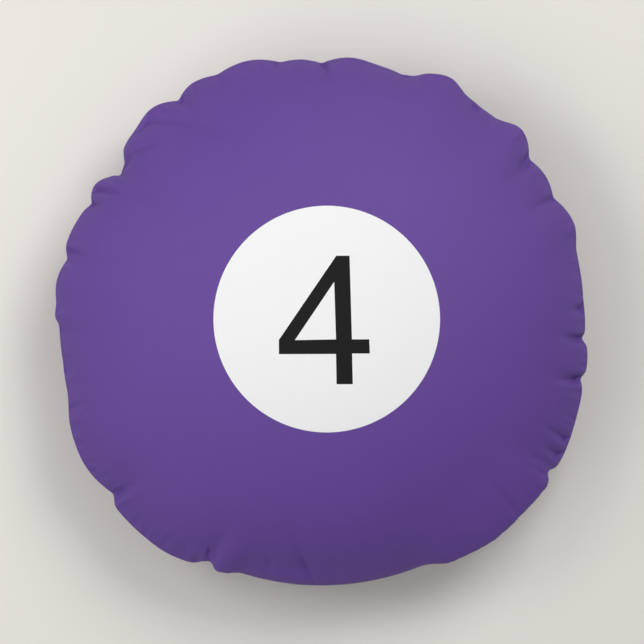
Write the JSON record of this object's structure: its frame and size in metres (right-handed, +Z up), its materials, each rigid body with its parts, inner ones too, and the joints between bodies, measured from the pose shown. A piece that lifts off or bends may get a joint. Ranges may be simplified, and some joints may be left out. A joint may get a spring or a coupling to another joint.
{
  "type": "round scatter cushion",
  "caption": "Round stuffed scatter cushion printed as a purple number 4 pool ball, with a concealed zip in its puckered edge seam and a fibre-filled inner pad.",
  "frame": {"origin": "centre of the cushion's footprint, on the surface that it lies on", "axes": "+Z up through the crown of the printed front, +Y towards the top of the numeral, +X to the numeral's right"},
  "size_m": [0.375, 0.375, 0.122],
  "materials": {
    "printed_cloth": "printed woven polyester, soft matte, purple with a white disc and a near-black numeral",
    "back_cloth": "plain purple woven polyester, soft matte",
    "seam_thread": "spun polyester thread",
    "overlock_thread": "textured overlock thread",
    "zip_tape": "fine woven tape",
    "zip_coil": "nylon coil",
    "slider_metal": "enamelled zinc, coloured to match the cloth",
    "stop_metal": "satin",
    "label_satin": "blank woven satin",
    "pad_cloth": "white spunbond nonwoven",
    "pad_thread": "spun polyester thread",
    "fibre": "loose polyester fibre"
  },
  "bodies": {
    "cushion": {"front_panel": "printed_cloth", "back_panel": "back_cloth", "edge_seam_thread": "seam_thread", "front_overlock_thread": "overlock_thread", "back_overlock_thread": "overlock_thread", "front_zip_tape": "zip_tape", "back_zip_tape": "zip_tape", "front_zip_coil": "zip_coil", "back_zip_coil": "zip_coil", "front_tape_stitching": "seam_thread", "back_tape_stitching": "seam_thread", "front_zip_top_stop": "stop_metal", "back_zip_top_stop": "stop_metal", "zip_bottom_stop": "stop_metal", "care_label": "label_satin", "insert_top_panel": "pad_cloth", "insert_bottom_panel": "pad_cloth", "insert_seam_thread": "pad_thread", "insert_closing_thread": "pad_thread", "insert_label": "label_satin", "fibre_fill": "fibre"},
    "slider": {"zip_slider": "slider_metal"},
    "pull_tab": {"zip_pull_tab": "slider_metal"}
  },
  "joints": [
    {"name": "zip_slide", "type": "hinge", "parent": "cushion", "child": "slider", "pos_m": [0, 0, 0.058], "axis": [0, 0, -1], "range_deg": [0, 68]},
    {"name": "pull_tab_swing", "type": "hinge", "parent": "slider", "child": "pull_tab", "pos_m": [0.14339, -0.12465, 0.058], "axis": [-0.6561, -0.7547, 0], "range_deg": [-20, 90]}
  ]
}
